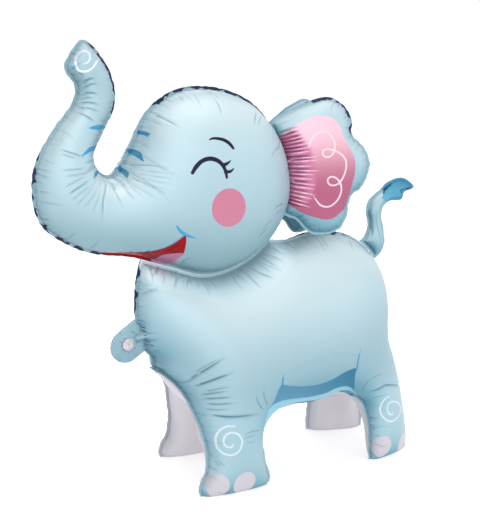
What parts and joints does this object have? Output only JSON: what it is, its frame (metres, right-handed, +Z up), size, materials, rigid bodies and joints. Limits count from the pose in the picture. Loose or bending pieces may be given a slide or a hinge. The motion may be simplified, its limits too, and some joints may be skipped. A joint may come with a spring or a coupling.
{
  "type": "elephant foil balloon",
  "caption": "Standing elephant foil balloon with a raised trunk, lobed ears, a tufted tail and pouch legs that stand on flat soles.",
  "frame": {"origin": "on the floor, under the centre of the whole figure's box", "axes": "+Z up, the elephant faces -X, its left side faces -Y"},
  "size_m": [0.6996, 0.2598, 0.7049],
  "materials": {
    "blue_foil": "printed metallised film, satin",
    "pink_foil": "printed metallised film, satin",
    "white_film": "thin white film"
  },
  "bodies": {
    "root": {"body_balloon": "blue_foil", "head_balloon": "blue_foil", "ear_left": "pink_foil", "ear_right": "pink_foil", "tail_balloon": "blue_foil", "valve_film": "white_film"}
  },
  "joints": []
}
